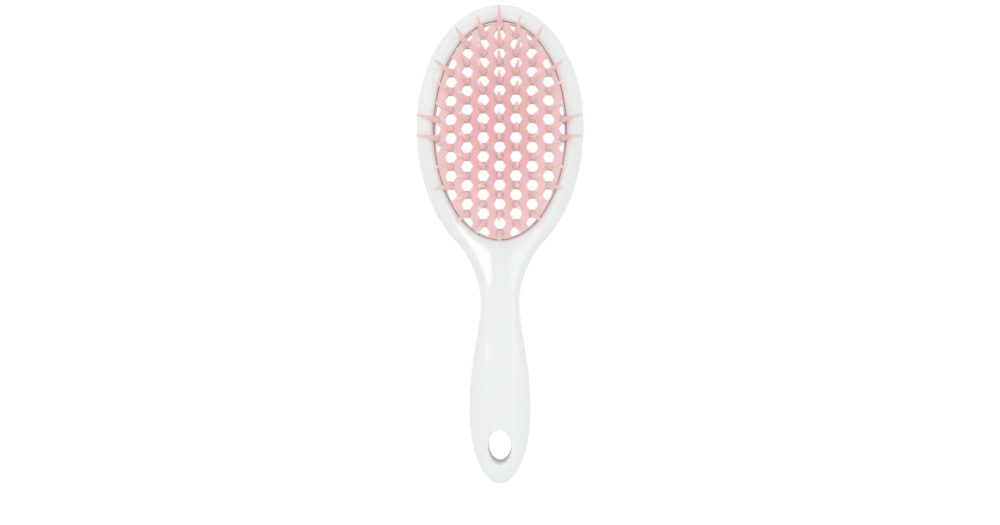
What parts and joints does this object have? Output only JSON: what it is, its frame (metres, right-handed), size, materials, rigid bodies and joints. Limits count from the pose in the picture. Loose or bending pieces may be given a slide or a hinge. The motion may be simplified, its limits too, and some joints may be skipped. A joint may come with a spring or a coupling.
{
  "type": "blow-dry brush",
  "caption": "Vented oval hair brush: a pink domed honeycomb pad of outward leaning bristles, held in the ring head of a white moulded handle with a hang hole.",
  "frame": {"origin": "middle of the brush's length and width, on the table that its back lies on", "axes": "+Z is the way the bristles point, +Y runs along the handle to the top of the head, +X is to the right with the head up"},
  "size_m": [0.084, 0.24, 0.0314],
  "materials": {
    "body": "white ABS, moulded glossy",
    "bristle_pad": "pink nylon, moulded satin"
  },
  "bodies": {
    "root": {"body": "body", "bristle_pad": "bristle_pad"}
  },
  "joints": []
}
